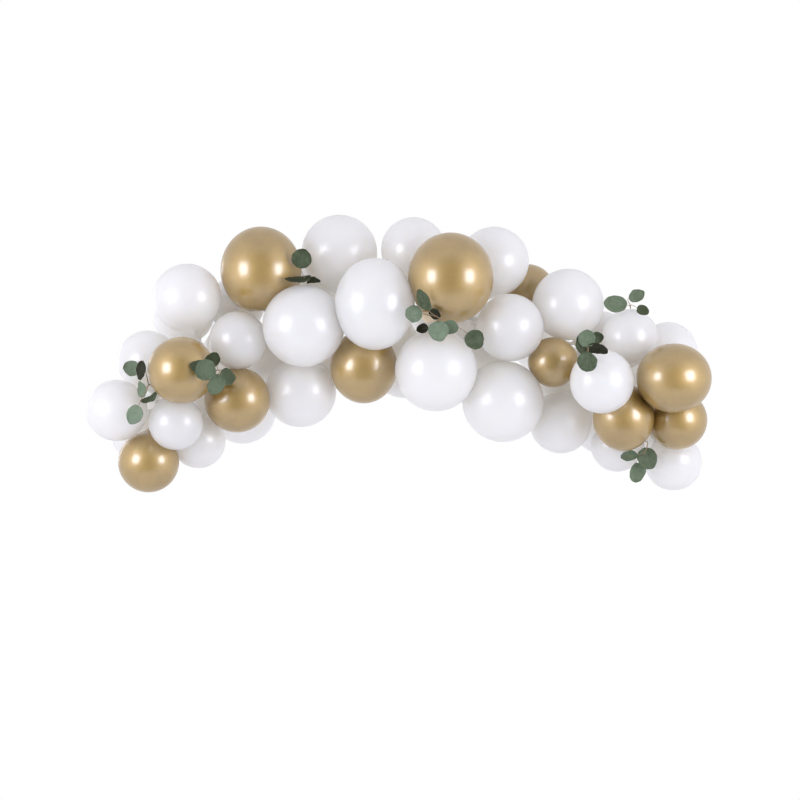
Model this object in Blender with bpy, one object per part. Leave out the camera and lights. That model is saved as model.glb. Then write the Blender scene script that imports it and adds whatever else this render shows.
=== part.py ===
"""Balloon garland: white and gold latex balloons and eucalyptus sprigs on a clear decorating strip.

Frame: metres, +Z up. The origin is on the back of the strip, in the middle of its width at the crown of
the arch. The garland's front faces -Y and the strip's flat back faces +Y.
"""
import math

import bmesh
import bpy
from mathutils import Vector

CM = 0.01
MM = 0.001
BACKWARD = Vector((0, 1, 0))

# The decorating strip: a flat plastic band, lying in its own plane along an arc
STRIP_RADIUS = 110 * CM
STRIP_HALF_SPAN = 79 * CM
STRIP_WIDTH = 13 * MM
STRIP_THICKNESS = 0.9 * MM
STRIP_STEPS = 35            # an odd number, so that a whole step lies across the crown
HOLE_PITCH = 25 * MM
# where it is hung: at the crown and near each end, with no balloon tied close by
HANGING_ANGLES = (-math.asin(0.6), 0.0, math.asin(0.6))
HANGING_CLEARANCE = 45 * MM
HANGING_SPACE = 40 * MM     # from a neck's axis to the line on which a hook comes in from behind

# How the balloons are packed
FRONT_LAYER = -20 * CM      # where layer 1 starts, in front of the strip
LAYER_STEP = 7 * CM         # each further layer starts this much nearer the back
PRESS = 0.95                # neighbours' middles are this part of their two radii apart
STRIP_CLEARANCE = 15 * MM   # round side of a balloon to the middle of the strip
STRIP_KEEP_OUT = 8 * MM     # no part of a balloon comes nearer to the middle of the strip
CONTACT_GAP = 0.3 * MM      # between two pressed faces
SETTLE_ROUNDS = 600
SETTLE_SHARE = 0.3          # part of a squeeze that each round takes up

# A balloon's outline, as parts of its radius
SHOULDER = math.radians(50)  # angle from the neck at which the round side turns into the taper
NECK_START = 1.32
NECK_NATURAL = 1.5           # middle to knot where nothing pulls it
NECK_SHORTEST = 1.42
NECK_LONGEST = 1.75
NECK_START_RADIUS = 9.6 * MM
NECK_RADIUS = 6 * MM
CRAMPED_COST = 10            # how much worse a neck too short is than one too long
KNOT_CLEARANCE = 12 * MM     # knot to the middle of the strip
HOLES_EACH_WAY = 10          # how many holes to either side of the nearest a neck may go to
BESIDE_STRIP = 6 * CM        # or this far beside the strip, to the necks tied there
ROUND_RINGS = (32, 64, 96)   # degrees from the crown of the balloon
AROUND = 11                  # flat sides around a balloon

# The garland's recipe: finish, width, place along and above the crown of the strip, and layer, with
# lengths in centimetres and layer 1 at the front. A last value is the height over the width of a
# balloon that its neighbours squeeze from both sides.
RECIPE = (
    # left end
    ("white", 19.5, -88.4, -32.3, 2.0),
    ("white", 16.0, -85.0, -41.0, 5.0),
    ("gold", 19.5, -79.0, -49.0, 3.6),
    ("white", 19.5, -80.0, -16.5, 4.0),
    ("white", 17.5, -77.5, -26.5, 5.5),
    ("white", 17.2, -69.4, -36.2, 3.0),
    ("gold", 21.0, -67.0, -19.5, 1.0),
    ("white", 21.0, -70.0, -0.5, 5.0),
    ("white", 22.0, -66.5, 3.5, 3.0),
    ("white", 17.5, -63.5, -42.5, 4.0),
    ("white", 15.0, -62.0, -31.0, 4.5),
    # left shoulder
    ("white", 18.5, -52.0, 2.0, 5.0),
    ("white", 18.0, -55.0, -14.0, 6.0),
    ("gold", 21.0, -50.5, -29.0, 3.0),
    ("white", 18.5, -50.0, -10.0, 2.3),
    ("white", 22.5, -51.0, -33.0, 5.0),
    ("gold", 26.0, -43.0, 12.5, 3.6, 1.08),
    ("white", 18.0, -39.5, -16.5, 6.0),
    ("white", 23.0, -30.5, -26.5, 4.0),
    ("white", 26.0, -29.0, -5.5, 2.0),
    ("white", 20.0, -27.0, 6.0, 6.0),
    ("white", 17.5, -18.5, -17.0, 5.0),
    # crown
    ("white", 24.5, -18.0, 18.5, 4.0),
    ("gold", 21.5, -10.0, -18.5, 3.0, 1.09),
    ("white", 25.2, -6.3, 1.3, 1.0, 1.15),
    ("white", 21.5, 3.0, -18.0, 5.0),
    ("white", 21.0, 6.0, 19.5, 4.0),
    ("white", 26.0, 13.0, -19.5, 2.0),
    ("gold", 27.0, 17.5, 9.5, 1.0, 1.06),
    ("white", 24.0, 17.5, -4.5, 6.0),
    # right shoulder
    ("white", 17.0, 29.0, -14.0, 5.5),
    ("white", 22.5, 32.0, 15.5, 4.0),
    ("white", 26.0, 34.5, -29.5, 3.0),
    ("white", 21.5, 36.5, -6.0, 2.0),
    ("gold", 18.5, 43.5, 6.0, 5.0),
    ("white", 19.0, 49.0, -11.0, 5.5),
    ("gold", 16.0, 50.5, -17.0, 3.0),
    ("white", 20.0, 53.5, -36.5, 4.0),
    ("white", 21.0, 54.5, -21.5, 5.0),
    ("white", 23.0, 55.5, 1.5, 3.0),
    # right end
    ("white", 17.5, 67.0, -9.0, 5.0),
    ("white", 16.0, 67.5, -39.0, 5.0),
    ("white", 20.0, 64.5, -23.0, 1.0),
    ("white", 17.0, 72.0, -44.0, 4.0),
    ("gold", 19.5, 72.5, -34.5, 2.0, 1.10),
    ("white", 18.0, 75.0, -9.0, 2.6),
    ("white", 17.5, 78.5, -24.5, 5.5),
    ("white", 12.5, 83.5, -39.5, 5.0),
    ("white", 19.0, 88.5, -13.5, 4.0),
    ("white", 18.5, 90.5, -49.5, 5.0),
    ("gold", 23.5, 87.5, -22.0, 1.0, 0.93),
    ("gold", 19.0, 90.5, -35.5, 2.6),
)


# Eucalyptus sprigs. `tuck` is where the stem goes in between the balloons (along, above), `into` the way
# it goes, `back` how far back its leaves may lie. One row a leaf: middle (along, above), length, width,
# in centimetres, then heading of its tip from +X, turn about its own length and nod of its tip to the
# front, in degrees.
SPRIGS = (
    dict(tuck=(-77.5, -24.0), into=(0, 1, 0), back=0, leaves=(
        (-79.0, -19.5, 6.2, 4.4, 268, 40, 0),
        (-84.0, -19.0, 5.4, 5.2, 183, 10, 10),
        (-79.5, -25.5, 5.2, 4.0, 98, -40, 0),
        (-77.0, -29.0, 6.2, 5.0, 208, 62, 0),
        (-81.5, -33.5, 6.4, 5.2, 247, 0, 10))),
    dict(tuck=(-55.0, -19.5), into=(0, 1, 0), back=0, leaves=(
        (-60.5, -18.5, 5.6, 4.6, 172, 0, 0),
        (-56.5, -16.0, 5.0, 4.6, 62, 10, 15),
        (-52.5, -21.5, 5.4, 5.4, 352, 15, 15),
        (-55.5, -24.0, 7.0, 5.2, 238, 0, 10),
        (-58.5, -19.5, 6.6, 6.8, 208, 0, 5))),
    dict(tuck=(-28.5, 9.5), into=(0, 1, 0), back=-14, leaves=(
        (-29.5, 16.0, 6.4, 6.4, 82, 0, 15),
        (-30.5, 8.5, 8.0, 5.4, 186, 66, 10),
        (-26.0, 9.5, 4.2, 3.6, 8, 58, 0))),
    dict(tuck=(14.5, -3.5), into=(0, 1, 0), back=0, leaves=(
        (12.5, -2.0, 4.0, 3.4, 325, 20, 0),
        (10.5, -3.0, 5.0, 3.2, 338, 20, 0),
        (8.5, 2.0, 7.4, 4.4, 122, 30, 10),
        (5.5, -2.0, 5.4, 5.4, 183, 0, 15),
        (8.5, -6.5, 4.0, 3.4, 205, 20, 0),
        (17.5, -6.0, 4.8, 4.6, 335, 10, 10),
        (13.5, -7.5, 6.4, 6.4, 277, 0, 10),
        (25.0, -10.0, 6.4, 6.2, 318, 0, 10))),
    dict(tuck=(59.5, -13.0), into=(0, 1, 0), back=-33, leaves=(
        (62.0, -9.5, 4.6, 4.0, 22, 10, 0),
        (62.5, -12.5, 6.6, 5.0, 352, 45, 0),
        (57.5, -11.5, 6.2, 4.6, 100, 15, 0),
        (59.0, -17.0, 6.2, 6.4, 262, 0, 10),
        (59.0, -9.5, 5.6, 5.6, 86, 0, 15))),
    dict(tuck=(75.0, 0.5), into=(0, 0.2, -1), back=-6, leaves=(
        (70.0, 1.5, 7.4, 5.6, 176, 10, 0),
        (77.5, 4.5, 5.2, 4.2, 22, 15, 0),
        (78.5, -0.5, 4.2, 3.4, 338, 15, 0))),
    dict(tuck=(79.5, -42.0), into=(0, 1, 0), back=0, leaves=(
        (75.0, -47.0, 5.6, 3.4, 186, 0, 0),
        (78.0, -52.5, 6.6, 5.0, 250, 0, 0),
        (81.0, -48.0, 7.2, 6.4, 285, 0, 10))),
)
LEAF_THICKNESS = 1.4 * MM
STEM_RADIUS = 1.5 * MM
STEM_SIDES = 3
FOOT_RADIUS = 2 * MM        # of the stem below its leaves
FOOT_SIDES = 4
STEM_ON_LEAF = 0.12         # how far along a leaf its stem runs, as a part of the leaf's length
LEAF_REST = 3 * MM          # a leaf's face to the balloon it lies on
LEAF_STACK = 4 * MM         # each further leaf of a sprig lies this much nearer the front
STEM_REST = 2.5 * MM        # a stem's axis to a balloon
MOUTH_STEP = 5 * MM         # the stems part this much nearer the front until nothing is in their way
TUCK_LONGEST = 14 * CM
FAR_FRONT = -60 * CM        # leaves are brought in from here
# half widths of a leaf along its length, as parts of its width and length
LEAF_EDGE = ((0.0, 0.0), (0.2, 0.38), (0.55, 0.5), (0.86, 0.30), (1.0, 0.0))


def clear_scene():
    for obj in list(bpy.data.objects):
        bpy.data.objects.remove(obj, do_unlink=True)


def make_material(name, colour, roughness, metallic):
    material = bpy.data.materials.new(name)
    material.use_nodes = True
    shader = material.node_tree.nodes["Principled BSDF"]
    shader.inputs["Base Color"].default_value = (*colour, 1.0)
    shader.inputs["Roughness"].default_value = roughness
    shader.inputs["Metallic"].default_value = metallic
    material.diffuse_color = (*colour, 1.0)
    return material


def add_object(name, bm, material):
    bmesh.ops.recalc_face_normals(bm, faces=bm.faces)
    mesh = bpy.data.meshes.new(name)
    bm.to_mesh(mesh)
    bm.free()
    mesh.materials.append(material)
    obj = bpy.data.objects.new(name, mesh)
    bpy.context.collection.objects.link(obj)
    return obj


# ---- the strip's centre line ----

def strip_point(angle):
    """A point on the strip's centre line, at an angle about the arc's centre from the crown."""
    return Vector((STRIP_RADIUS * math.sin(angle), 0.0, STRIP_RADIUS * (math.cos(angle) - 1.0)))


def strip_end_angle():
    return math.asin(STRIP_HALF_SPAN / STRIP_RADIUS)


def nearest_angle(point):
    angle = math.atan2(point.x, point.z + STRIP_RADIUS)
    return max(-strip_end_angle(), min(strip_end_angle(), angle))


# ---- packing ----

class Balloon:
    def __init__(self, finish, width, along, above, layer, height_over_width=1.0):
        self.finish = finish
        self.height_over_width = height_over_width
        self.radius = width * CM / 2
        self.middle = Vector((along * CM, FRONT_LAYER + LAYER_STEP * (layer - 1), above * CM))
        self.contacts = []      # (unit vector to the neighbour, distance from the middle to the contact)

    def reach(self, direction):
        """How far the balloon may stretch in a direction before a contact face."""
        farthest = math.inf
        for normal, far in self.contacts:
            towards = direction.dot(normal)
            if towards > 0:
                farthest = min(farthest, far / towards)
        return farthest


def settle(balloons):
    """Push pressed neighbours apart in depth until they only squeeze each other, and clear the strip."""
    for _ in range(SETTLE_ROUNDS):
        moves = [0.0] * len(balloons)
        for i, a in enumerate(balloons):
            for j in range(i + 1, len(balloons)):
                b = balloons[j]
                push = PRESS * (a.radius + b.radius) - (a.middle - b.middle).length
                if push > 0:
                    side = math.copysign(SETTLE_SHARE * push, a.middle.y - b.middle.y)
                    moves[i] += side
                    moves[j] -= side
        for balloon, move in zip(balloons, moves):
            balloon.middle.y += move
            to_strip = strip_point(nearest_angle(balloon.middle)) - balloon.middle
            lacking = STRIP_CLEARANCE + balloon.radius - to_strip.length
            if lacking > 0:
                balloon.middle.y += math.copysign(SETTLE_SHARE * lacking, balloon.middle.y)


def find_contacts(balloons):
    """Give each balloon the planes it is pressed flat on, or would be if it grew to meet a neighbour."""
    for a in balloons:
        for b in balloons:
            if a is b:
                continue
            between = b.middle - a.middle
            span = between.length
            if span < NECK_LONGEST * a.radius + NECK_LONGEST * b.radius:
                to_face = (span * span + a.radius ** 2 - b.radius ** 2) / (2 * span)
                a.contacts.append((between / span, to_face - CONTACT_GAP / 2))
        to_strip = strip_point(nearest_angle(a.middle)) - a.middle
        a.contacts.append((to_strip.normalized(), to_strip.length - STRIP_KEEP_OUT))


def neck_targets(balloon):
    """Places a neck may lead to: free holes of the strip nearby, and points beside them where it is tied
    to the necks already there."""
    step = HOLE_PITCH / STRIP_RADIUS
    nearest = round(nearest_angle(balloon.middle) / step)
    last = int(strip_end_angle() / step)
    for hole in range(max(-last, nearest - HOLES_EACH_WAY), min(last, nearest + HOLES_EACH_WAY) + 1):
        if min(abs(hole * step - angle) for angle in HANGING_ANGLES) * STRIP_RADIUS < HANGING_CLEARANCE:
            continue
        for back in (-1, 0, 1):
            for up in (-1, 0, 1):
                beside = Vector((0, back, up)) * BESIDE_STRIP
                yield strip_point(hole * step) + beside, beside.length


def bars_a_hook(point):
    """Whether a neck would be in the way of a hook that takes the strip from behind."""
    beside = min(math.hypot(point.x - hung.x, point.z - hung.z) for hung in map(strip_point, HANGING_ANGLES))
    return point.y > 0 and beside < HANGING_SPACE


def choose_neck(balloon):
    """Point the neck where it reaches the strip most freely, and set its length."""
    best = math.inf
    for target, beside in neck_targets(balloon):
        to_target = target - balloon.middle
        to_knot = to_target.length - KNOT_CLEARANCE
        direction = to_target.normalized()
        length = min(to_knot, NECK_LONGEST * balloon.radius, balloon.reach(direction))
        if any(bars_a_hook(balloon.middle + direction * far) for far in (NECK_START * balloon.radius, length)):
            continue
        cramped = max(0.0, NECK_SHORTEST * balloon.radius - length)
        misfit = abs(to_knot - NECK_NATURAL * balloon.radius) + beside + CRAMPED_COST * cramped
        if misfit < best:
            best = misfit
            balloon.neck = direction
            balloon.neck_length = max(length, NECK_SHORTEST * balloon.radius)


def pack_garland():
    balloons = [Balloon(*row) for row in RECIPE]
    settle(balloons)
    find_contacts(balloons)
    for balloon in balloons:
        choose_neck(balloon)
    return balloons


# ---- solids ----

def balloon_outline(balloon):
    """(distance towards the neck, distance from the axis) for each ring, from the crown to the knot."""
    rings = [(-balloon.radius * math.cos(math.radians(a)), balloon.radius * math.sin(math.radians(a)))
             for a in ROUND_RINGS]
    rings.append((balloon.radius * math.cos(SHOULDER), balloon.radius * math.sin(SHOULDER)))
    rings.append((NECK_START * balloon.radius, NECK_START_RADIUS))
    rings.append((balloon.neck_length, NECK_RADIUS))
    return rings


def make_balloon(name, balloon, material):
    axis = balloon.neck
    across = axis.orthogonal().normalized()
    other = axis.cross(across)

    def pressed(offset):
        offset.z *= balloon.height_over_width
        distance = offset.length
        return balloon.middle + offset * min(1.0, balloon.reach(offset / distance) / distance)

    bm = bmesh.new()
    loops = []
    for along, out in balloon_outline(balloon):
        turns = [2 * math.pi * k / AROUND for k in range(AROUND)]
        loops.append([bm.verts.new(pressed(axis * along + (across * math.cos(t) + other * math.sin(t)) * out))
                      for t in turns])
    crown = bm.verts.new(pressed(-axis * balloon.radius))
    knot = bm.verts.new(pressed(axis * balloon.neck_length))
    for k in range(AROUND):
        n = (k + 1) % AROUND
        bm.faces.new((crown, loops[0][n], loops[0][k]))
        bm.faces.new((knot, loops[-1][k], loops[-1][n]))
        for low, high in zip(loops, loops[1:]):
            bm.faces.new((low[k], low[n], high[n], high[k]))
    bmesh.ops.triangulate(bm, faces=bm.faces)
    return add_object(name, bm, material)


def make_strip(material):
    bm = bmesh.new()
    end = strip_end_angle()
    sections = []
    for i in range(STRIP_STEPS + 1):
        angle = end * (2 * i / STRIP_STEPS - 1)
        outward = Vector((math.sin(angle), 0, math.cos(angle)))
        middle = strip_point(angle)
        corners = ((-1, -STRIP_THICKNESS), (1, -STRIP_THICKNESS), (1, 0.0), (-1, 0.0))
        sections.append([bm.verts.new(middle + outward * side * STRIP_WIDTH / 2 + Vector((0, depth, 0)))
                         for side, depth in corners])
    for a, b in zip(sections, sections[1:]):
        for k in range(4):
            n = (k + 1) % 4
            bm.faces.new((a[k], a[n], b[n], b[k]))
    bm.faces.new(sections[0])
    bm.faces.new(reversed(sections[-1]))
    return add_object("decorating_strip", bm, material)


# ---- eucalyptus ----

def travel(points, direction, balloons, clearance, longest):
    """How far points may all move in a direction before one comes within a clearance of a balloon."""
    farthest = longest
    for balloon in balloons:
        keep_out = balloon.radius * max(1.0, balloon.height_over_width) + clearance
        for point in points:
            offset = balloon.middle - point
            along = offset.dot(direction)
            miss = offset.length_squared - along * along
            if along > 0 and miss < keep_out ** 2:
                farthest = min(farthest, along - math.sqrt(keep_out ** 2 - miss))
    return farthest


class Leaf:
    """A leaf blade: its middle, the way its tip points, its face and its outline."""

    def __init__(self, along, above, length, width, heading, turn, nod):
        heading, turn, nod = (math.radians(a) for a in (heading, turn, nod))
        front = Vector((0, -1, 0))
        level = Vector((math.cos(heading), 0, math.sin(heading)))
        self.tip_way = (level * math.cos(nod) + front * math.sin(nod)).normalized()
        flat = (front * math.cos(nod) - level * math.sin(nod)).normalized()
        side = self.tip_way.cross(flat)
        self.face = (flat * math.cos(turn) + side * math.sin(turn)).normalized()
        self.side = self.tip_way.cross(self.face)
        self.middle = Vector((along * CM, 0, above * CM))
        self.length = length * CM
        self.width = width * CM

    def point(self, part, across):
        return (self.middle + self.tip_way * self.length * (part - 0.5)
                + self.side * self.width * across)

    def outline(self):
        left = [self.point(part, -half) for part, half in LEAF_EDGE]
        right = [self.point(part, half) for part, half in LEAF_EDGE[-2:0:-1]]
        return left + right

    def lay_on(self, balloons, back, order):
        """Bring the leaf in from the front until it rests on a balloon or reaches its own depth."""
        self.middle.y = FAR_FRONT
        samples = self.outline() + [self.middle] + [self.middle.lerp(p, 0.5) for p in self.outline()]
        self.middle.y += travel(samples, BACKWARD, balloons, LEAF_REST, back * CM - FAR_FRONT)
        self.middle.y -= LEAF_STACK * order


def add_tube(bm, start, end, radius, sides):
    """A closed stem with flat sides from one point to another."""
    axis = (end - start).normalized()
    across = axis.orthogonal().normalized() * radius
    other = axis.cross(across)
    turns = [2 * math.pi * k / sides for k in range(sides)]
    corners = [across * math.cos(t) + other * math.sin(t) for t in turns]
    rings = [[bm.verts.new(centre + corner) for corner in corners] for centre in (start, end)]
    bm.faces.new(rings[0])
    bm.faces.new(reversed(rings[1]))
    for k in range(sides):
        n = (k + 1) % sides
        bm.faces.new((rings[0][n], rings[0][k], rings[1][k], rings[1][n]))


def add_blade(bm, leaf):
    """A leaf blade, thickest at its middle and sharp at its edge."""
    edge = [bm.verts.new(p) for p in leaf.outline()]
    for side in (-1, 1):
        top = bm.verts.new(leaf.middle + leaf.face * side * LEAF_THICKNESS / 2)
        for k in range(len(edge)):
            bm.faces.new((edge[k], edge[(k + 1) % len(edge)], top))


def united(name, builders, material):
    """One closed solid from several that run into each other, each made by a function of a bmesh."""
    pieces = []
    for builder in builders:
        bm = bmesh.new()
        builder(bm)
        bmesh.ops.triangulate(bm, faces=bm.faces)
        pieces.append(add_object(name, bm, material))
    whole = pieces[0]
    for piece in pieces[1:]:
        union = whole.modifiers.new("union", "BOOLEAN")
        union.operation = "UNION"
        union.solver = "EXACT"
        union.object = piece
        bpy.context.view_layer.update()
        joined = bpy.data.meshes.new_from_object(whole.evaluated_get(bpy.context.evaluated_depsgraph_get()))
        whole.modifiers.clear()
        whole.data = joined
        bpy.data.objects.remove(piece, do_unlink=True)
    return whole


def make_sprig(name, sprig, balloons, material):
    leaves = [Leaf(*row) for row in sprig["leaves"]]
    for order, leaf in enumerate(leaves):
        leaf.lay_on(balloons, sprig["back"], order)
    into = Vector(sprig["into"]).normalized()
    mouth = Vector((sprig["tuck"][0] * CM, FAR_FRONT, sprig["tuck"][1] * CM))
    leaf_depth = sum(leaf.middle.y for leaf in leaves) / len(leaves)
    mouth.y += travel([mouth], BACKWARD, balloons, STEM_REST, leaf_depth - FAR_FRONT)

    def blocked():
        for leaf in leaves:
            way = leaf.point(0.0, 0.0) - mouth
            if travel([mouth], way.normalized(), balloons, STEM_REST, way.length) < way.length:
                return True
        return False

    while blocked():
        mouth.y -= MOUTH_STEP
    root = mouth + into * travel([mouth], into, balloons, STEM_REST, TUCK_LONGEST)

    builders = [lambda bm: add_tube(bm, root, mouth - into * STEM_RADIUS, FOOT_RADIUS, FOOT_SIDES)]
    for leaf in leaves:
        stem_end = leaf.point(STEM_ON_LEAF, 0.0)
        builders.append(lambda bm, end=stem_end: add_tube(bm, mouth, end, STEM_RADIUS, STEM_SIDES))
        builders.append(lambda bm, leaf=leaf: add_blade(bm, leaf))
    return united(name, builders, material)


def main():
    clear_scene()
    finishes = {
        "white": make_material("white_latex", (0.86, 0.86, 0.87), 0.28, 0.0),
        "gold": make_material("gold_latex", (0.52, 0.38, 0.17), 0.28, 0.85),
    }
    clear_plastic = make_material("clear_strip", (0.80, 0.82, 0.82), 0.2, 0.0)
    leaf_green = make_material("eucalyptus", (0.11, 0.16, 0.10), 0.6, 0.0)
    balloons = pack_garland()
    counts = {"white": 0, "gold": 0}
    for balloon in sorted(balloons, key=lambda b: b.middle.x):
        counts[balloon.finish] += 1
        name = f"{balloon.finish}_balloon_{counts[balloon.finish]:02d}"
        make_balloon(name, balloon, finishes[balloon.finish])
    make_strip(clear_plastic)
    for number, sprig in enumerate(SPRIGS, start=1):
        make_sprig(f"eucalyptus_sprig_{number}", sprig, balloons, leaf_green)


main()
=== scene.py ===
"""Looks of the balloon garland: inflated latex balloons, eucalyptus sprigs and their clear strip.

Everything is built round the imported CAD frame, in metres, with the front facing -Y.
"""
import math
from functools import partial

import bmesh
import bpy
import numpy as np
from mathutils import Matrix, Vector


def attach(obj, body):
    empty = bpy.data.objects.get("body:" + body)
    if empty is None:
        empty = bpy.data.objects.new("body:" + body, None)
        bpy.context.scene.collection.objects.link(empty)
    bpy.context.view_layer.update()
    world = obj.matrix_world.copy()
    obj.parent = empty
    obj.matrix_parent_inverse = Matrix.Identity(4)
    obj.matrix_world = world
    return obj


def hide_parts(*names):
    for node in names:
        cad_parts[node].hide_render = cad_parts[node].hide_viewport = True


MM = 0.001
CM = 0.01
FRONT = (0.0, -1.0, 0.0)
WELD_WITHIN = 0.01 * MM

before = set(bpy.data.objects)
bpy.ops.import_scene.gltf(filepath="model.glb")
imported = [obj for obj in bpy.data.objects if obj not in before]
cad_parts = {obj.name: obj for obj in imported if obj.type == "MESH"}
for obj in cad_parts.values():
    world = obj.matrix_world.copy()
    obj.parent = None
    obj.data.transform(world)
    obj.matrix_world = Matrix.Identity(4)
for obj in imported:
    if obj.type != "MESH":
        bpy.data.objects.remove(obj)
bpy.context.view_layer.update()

# The decorating strip, whose back lies on the frame's origin at the crown of its arc
STRIP_RADIUS = 110 * CM
STRIP_HALF_SPAN = 79 * CM
STRIP_WIDTH = 13 * MM
STRIP_THICKNESS = 0.9 * MM
HOLE_PITCH = 25 * MM
HOLE_RADIUS = 4.2 * MM
PUNCHED_LENGTH = 17 * MM     # of each pitch, with a hole in its middle; the rest is plain
HOLE_SIDES = 32
FIRST_HOLE_CORNER = math.radians(135)  # towards the corner of the plate where its rim starts
CELLS_WELD_WITHIN = 0.02 * MM

# Pressed balloons
NECK_LONGEST = 1.75          # of a balloon's radius, from its middle
STRIP_KEEP_OUT = 8 * MM
CONTACT_GAP = 0.3 * MM
CONTACT_SOFTNESS = 7 * MM    # how wide a balloon's skin turns into a flat contact
LEAST_FACING = 0.1 * MM      # towards a contact, so that skin that faces away never meets it
SHOULDER = math.radians(50)  # from the neck, where the round side turns into the taper
SHOULDER_HANDLE = 0.42       # how far the taper runs on from the round side, of its own length
NECK_HANDLE = 0.34           # and how far it runs straight in to the neck
NECK_FLARE = 2 * MM          # how much wider than the neck it is there
NECK_TO_KNOT = 7.5 * MM      # end of the taper to the knot's middle
NECK_RADIUS = 4.6 * MM
KNOT_FROM_END = 9.7 * MM     # knot's middle to the end of the neck in CAD
GATHERS = 16
GATHERS_START = 0.45         # of the taper, from the shoulder
GATHERS_DEPTH = 1.1 * MM     # where the taper ends
AROUND = 96
ROUND_STEPS = 40
TAPER_STEPS = 13
TINT_START = 0.9             # where the skin thickens to the neck, along the axis, in radii
TINT_FULL = 1.4

# A tied neck, in mm: past the knot's middle, out from the axis, and depth of the gathers
KNOT_AND_LIP = (
    (-6.2, 4.4, 0.9), (-4.9, 4.9, 0.8), (-4.0, 6.3, 0.7), (-2.2, 7.5, 0.6), (0.0, 7.9, 0.6),
    (2.2, 7.4, 0.6), (3.8, 5.9, 0.6), (4.6, 4.2, 0.5), (6.2, 3.9, 0.6), (8.8, 5.3, 0.5),
    (10.8, 6.7, 0.3), (12.0, 7.6, 0.0), (12.8, 7.8, 0.0), (13.3, 7.2, 0.0), (12.9, 6.5, 0.0),
    (11.0, 5.0, 0.0), (9.0, 3.2, 0.0), (8.4, 0.0, 0.0))

# Fitting a balloon to its CAD solid
FIT_SEED = 11
FIT_DRAWS = 1500
FIT_CORNERS = 5              # as many as an upright oval has measures
LEAST_SPREAD = 1.0           # of the corners drawn, as a determinant
FIT_SQUEEZES = (0.5, 1.5)    # square of width over height, at least and at most
FIT_TOLERANCE = 0.05 * MM
NECK_END_CORNERS = 11

# Leaf blades and stems, as their CAD solids have them
CAD_BLADE_THICKNESS = 1.4 * MM
# three places on its edge: how far past the middle, of the length, and half width, of the width
CAD_BLADE_EDGE = ((-0.3, 0.38), (0.05, 0.5), (0.36, 0.30))
BLADE_SHORTEST = 10 * MM
BLADE_LONGEST = 90 * MM
STEM_ON_LEAF = 0.12
CAD_FOOT_ACROSS = 4 * MM     # corner to opposite corner of the stem below the leaves
STEMS_PART_WITHIN = 4.5 * MM  # of the place where a sprig's stems part

# How nearly the corners of those have to agree
FEWEST_EDGE_CORNERS = 4
ROW_TOLERANCE = 0.002        # of the length of a blade
EDGE_TOLERANCE = 0.1 * MM
FLATNESS = 0.03 * MM
PAIR_TOLERANCE = 0.01 * MM
CROSSING_TOLERANCE = 0.05 * MM

# Leaves and stems as they are seen
BLADE_THICKNESS = 0.7 * MM
BLADE_TYPICAL = 55 * MM      # across and along; the unit blade is stretched to each leaf's own size
BLADE_ROWS = 24              # along a leaf
BLADE_COLUMNS = 12           # across it
BLADE_STEMWARD = 0.9         # under 1, it is widest nearer the stem
BLADE_CUP = 0.09             # how far its edges stand forward of its rib, as a part of its width
BLADE_WAVE = 0.03            # and how far they wave besides
WAVE_ALONG = 5.0             # radians of the wave from the stem to the tip
WAVE_ACROSS = 2.5            # and from the rib to an edge
RIB_DEPTH = 0.01
RIB_NARROWNESS = 6
EDGE_THINNING = 0.6          # how much of the thickness is gone at the edges
SIDE_VEINS = 12              # along a leaf
VEIN_SLANT = 0.55            # how far they lean to the tip, of their distance from the rib
CURL = 4 * MM                # how far its tip and stem end stand forward of its middle
CURL_TURNED_AWAY = 16 * MM   # and how much more for a leaf seen from its edge
CRUMPLE = 10 * MM
CRUMPLE_SIZE = 26 * MM
CRUMPLE_SEED_STEP = 1.7      # from sprig to sprig
WITHERED_LEAF = 33 * MM      # wide, or less: a dry one
# how light the leaves of each sprig are, partly their own tone and partly painted shade: from 0 for
# a brown underside darkened as painted shade, to 1 for the greyest bloom, in order of their place
# from left to right and of two at one place from below
LEAF_TONES_AND_SHADE = (
    (1.0, 1.0, 1.0, 0.05, 0.45), (0.45, 0.6, 0.3, 0.75, 0.75), (0.2, 0.42, 0.2),
    (0.88, 0.05, 0.45, 0.5, 0.05, 0.95, 0.75, 0.5), (0.33, 0.47, 0.8, 0.42, 0.05),
    (0.78, 0.78, 0.38), (0.62, 0.8, 0.65))
STEM_SIDES = 10
FOOT_RADIUS = 1.6 * MM
BRANCH_RADIUS = 1.44 * MM    # where a stem leaves the foot
PETIOLE_RADIUS = 0.85 * MM
STEM_BEND = 0.3              # length of a stem's handles, of the way that it goes
FOOT_POINTS = 4
STEM_POINTS = 14

# Studio
CAMERA_DISTANCE = 7.0
CAMERA_HEIGHT = -163 * MM
LENS = 97.3
CAMERA_SHIFT = (0.00625, -0.05)
FLOOR_HEIGHT = -2.2
FLOOR_RADIUS = 2.8
FLOOR_SIDES = 128
LIT_PLACE = (0, 0, -0.2)
LIGHT_COLOUR = "#F9F8FF"
SIDE_BOX_PLACES = {"left": (-3.1, -2.65, 0.25), "right": (3.1, -2.65, 0.25)}
SIDE_BOX_SIZE = (1.62, 1.75)
SIDE_BOX_RADIANCE = 6.3
SHEEN_RADIANCE = 4.7         # what gloss mirrors of a side box besides
RIM_BOX_PLACE = (-2.4, 2.2, 0.0)
RIM_BOX_SIZE = (0.5, 1.2)
RIM_BOX_RADIANCE = 2
WALL_COLOUR = "#FAF9FF"
FRONT_WALL = (0.53, 0.24)    # brightness in plain light, and as gloss mirrors it
OTHER_WALLS = (0.80, 0.88)
FRONT_WALL_EDGE = (-0.98, -0.5)  # y of the way out, where the front wall starts to fade and ends
FLOOR_BOOST = 1.05           # times brighter below
CEILING_BOOST = 0.95
FADE_HEIGHT = 0.6            # z of the way out, up to either


# ---- what the frame says ----

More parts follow.
